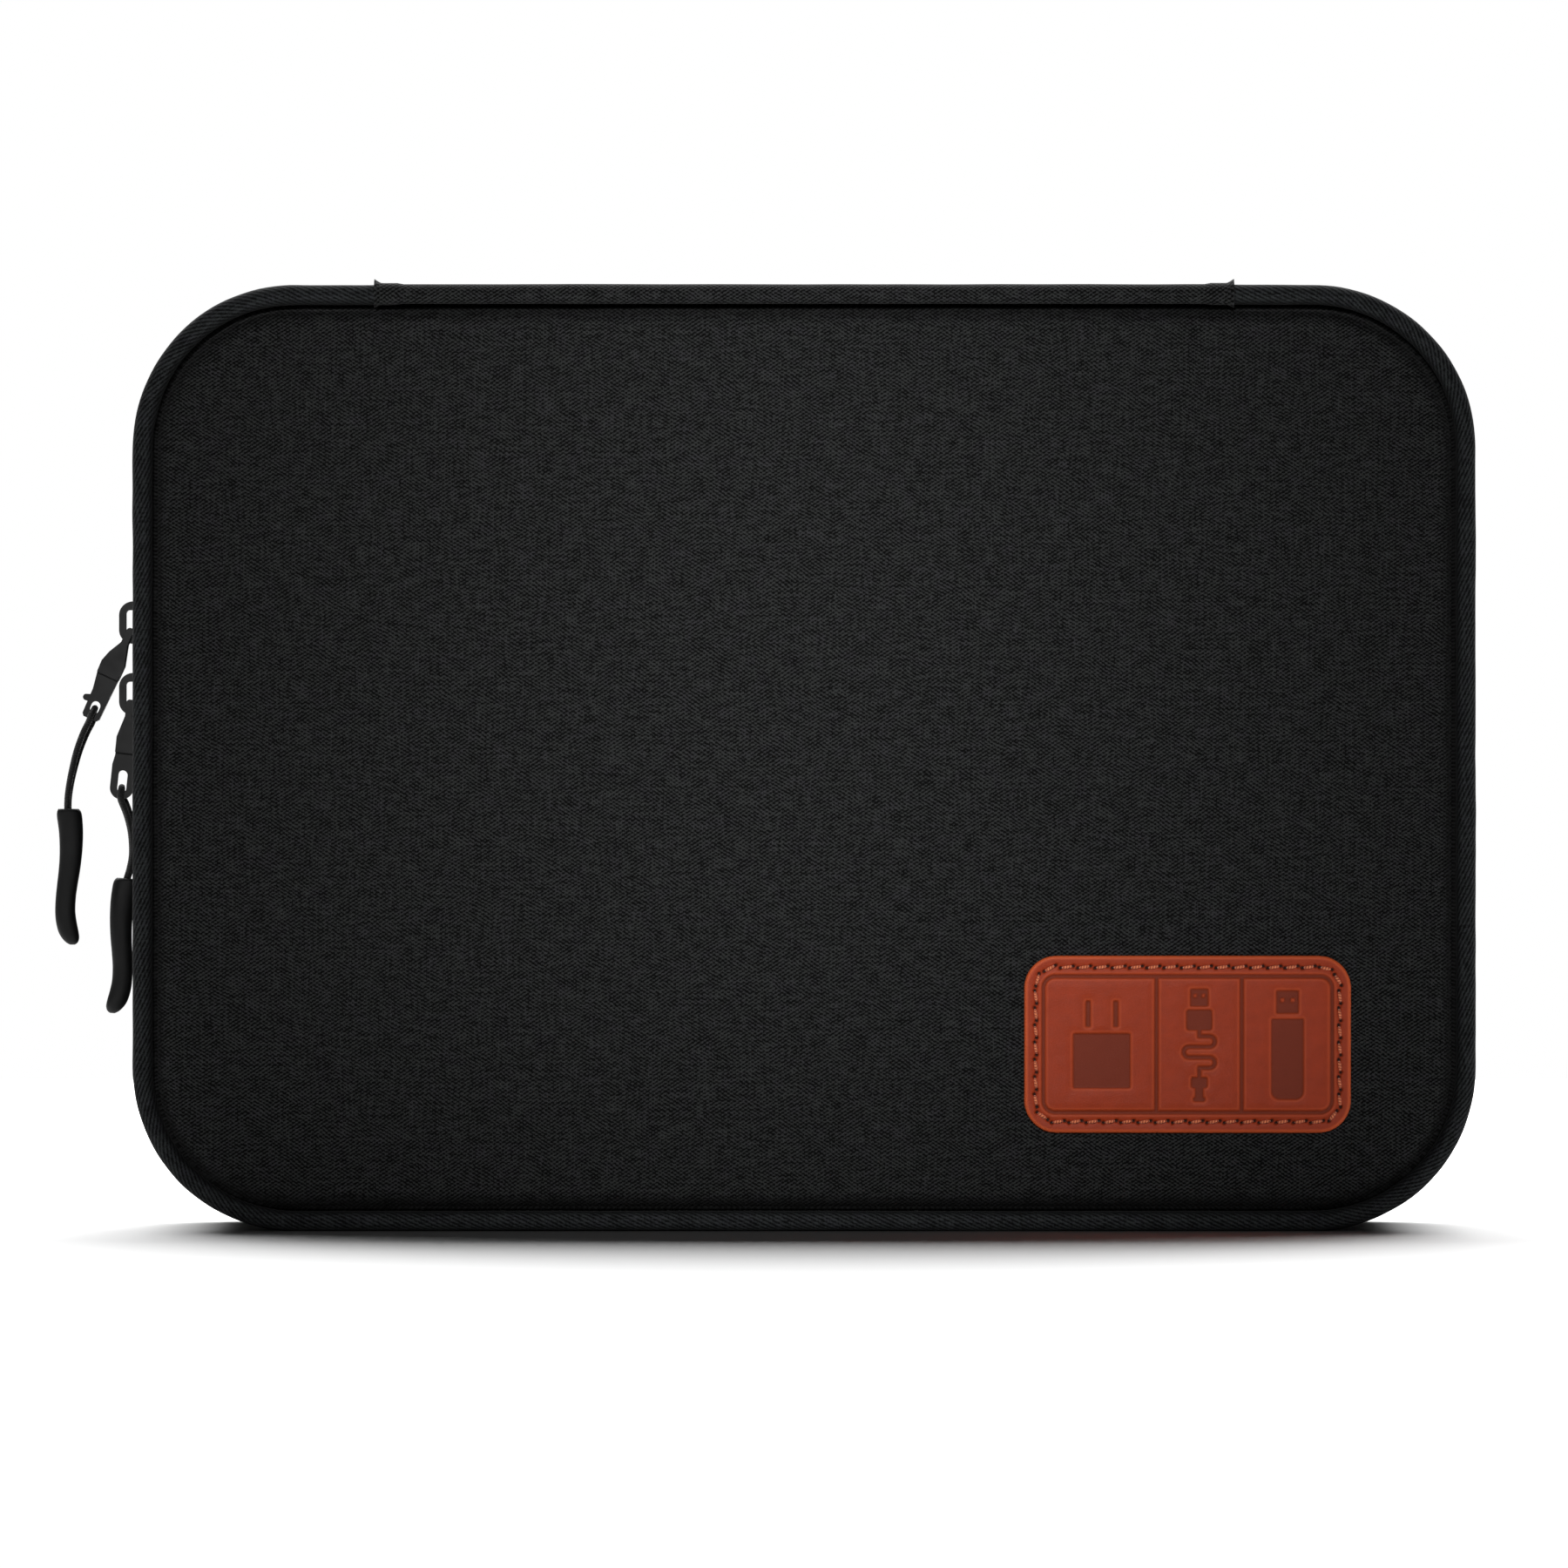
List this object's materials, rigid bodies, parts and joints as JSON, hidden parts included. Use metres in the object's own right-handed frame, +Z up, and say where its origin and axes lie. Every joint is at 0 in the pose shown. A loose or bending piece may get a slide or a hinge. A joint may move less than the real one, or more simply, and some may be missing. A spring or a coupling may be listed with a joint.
{
  "type": "cable organizer pouch",
  "caption": "Padded zip-round travel pouch for cables: book-style halves on a fabric spine, piped edges, leather patch, sliders with cord grips, inner loops and mesh pocket.",
  "frame": {"origin": "middle of the bottom edge of the closed pouch, on the surface it stands on", "axes": "+X to the right along the longest side, +Y from the front cover to the back cover, +Z up"},
  "size_m": [0.2624, 0.0425, 0.1748],
  "materials": {
    "woven_shell": "charcoal melange polyester weave",
    "gusset_shell": "plain black weave",
    "piping": "bias-cut twill tape",
    "core_cord": "braided filler cord",
    "foam": "closed-cell foam, matt",
    "lining": "grey ripstop lining",
    "binding": "grosgrain binding tape",
    "zip_tape": "herringbone zip tape",
    "zip_coil": "satin nylon coil",
    "leather": "terracotta leather, pressed",
    "patch_thread": "waxed thread in the leather colour",
    "mesh": "open knitted mesh",
    "elastic": "ribbed woven elastic",
    "slider_metal": "black lacquered zinc",
    "pull_cord": "braided black cord",
    "grip_rubber": "soft black moulded rubber"
  },
  "bodies": {
    "back_half": {"back_cover_fabric": "woven_shell", "back_foam": "foam", "back_lining": "lining", "back_piping_tape": "piping", "back_piping_cord": "core_cord", "back_gusset": "gusset_shell", "back_zip_tape": "zip_tape", "back_zip_teeth": "zip_coil", "back_binding": "binding", "back_spine_fabric": "woven_shell", "back_spine_foam": "foam", "back_spine_lining": "lining", "upper_cable_loops": "elastic", "lower_cable_loops": "elastic", "slip_pocket": "lining", "slip_pocket_hem": "elastic"},
    "front_cover": {"front_cover_fabric": "woven_shell", "front_foam": "foam", "front_lining": "lining", "front_piping_tape": "piping", "front_piping_cord": "core_cord", "front_gusset": "gusset_shell", "front_zip_tape": "zip_tape", "front_zip_teeth": "zip_coil", "front_binding": "binding", "front_spine_fabric": "woven_shell", "front_spine_foam": "foam", "front_spine_lining": "lining", "leather_patch": "leather", "patch_stitching": "patch_thread", "mesh_pocket": "mesh", "mesh_pocket_binding": "binding", "mesh_zip_tape": "zip_tape", "mesh_zip_teeth": "zip_coil"},
    "mesh_slider": {"mesh_slider": "slider_metal"},
    "mesh_pull_tab": {"mesh_pull_tab": "slider_metal"},
    "upper_slider": {"upper_slider": "slider_metal"},
    "upper_pull_tab": {"upper_pull_tab": "slider_metal"},
    "upper_pull_grip": {"upper_pull_cord": "pull_cord", "upper_pull_grip": "grip_rubber"},
    "lower_slider": {"lower_slider": "slider_metal"},
    "lower_pull_tab": {"lower_pull_tab": "slider_metal"},
    "lower_pull_grip": {"lower_pull_cord": "pull_cord", "lower_pull_grip": "grip_rubber"}
  },
  "joints": [
    {"name": "cover_hinge", "type": "hinge", "parent": "back_half", "child": "front_cover", "pos_m": [0, 0, 0.1749], "axis": [-1, 0, 0], "range_deg": [0, 180]},
    {"name": "upper_slider_travel", "type": "slide", "parent": "back_half", "child": "upper_slider", "axis": [0, 0, 1], "range_m": [0, 0.026]},
    {"name": "lower_slider_travel", "type": "slide", "parent": "back_half", "child": "lower_slider", "axis": [0, 0, -1], "range_m": [0, 0.036]},
    {"name": "upper_tab_swing", "type": "hinge", "parent": "upper_slider", "child": "upper_pull_tab", "pos_m": [-0.1252, 0, 0.11055], "axis": [0, 1, 0], "range_deg": [0, 105]},
    {"name": "lower_tab_swing", "type": "hinge", "parent": "lower_slider", "child": "lower_pull_tab", "pos_m": [-0.1252, 0, 0.09725], "axis": [0, 1, 0], "range_deg": [0, 22]},
    {"name": "upper_grip_swing", "type": "hinge", "parent": "upper_pull_tab", "child": "upper_pull_grip", "pos_m": [-0.13184, 0, 0.09632], "axis": [0, 1, 0], "range_deg": [-9, 60]},
    {"name": "lower_grip_swing", "type": "hinge", "parent": "lower_pull_tab", "child": "lower_pull_grip", "pos_m": [-0.12684, 0, 0.08164], "axis": [0, 1, 0], "range_deg": [0, 55]},
    {"name": "mesh_slider_travel", "type": "slide", "parent": "front_cover", "child": "mesh_slider", "axis": [1, 0, 0], "range_m": [0, 0.174]},
    {"name": "mesh_tab_flip", "type": "hinge", "parent": "mesh_slider", "child": "mesh_pull_tab", "pos_m": [-0.0895, -0.0089, 0.138], "axis": [0, 0, 1], "range_deg": [0, 170]}
  ]
}
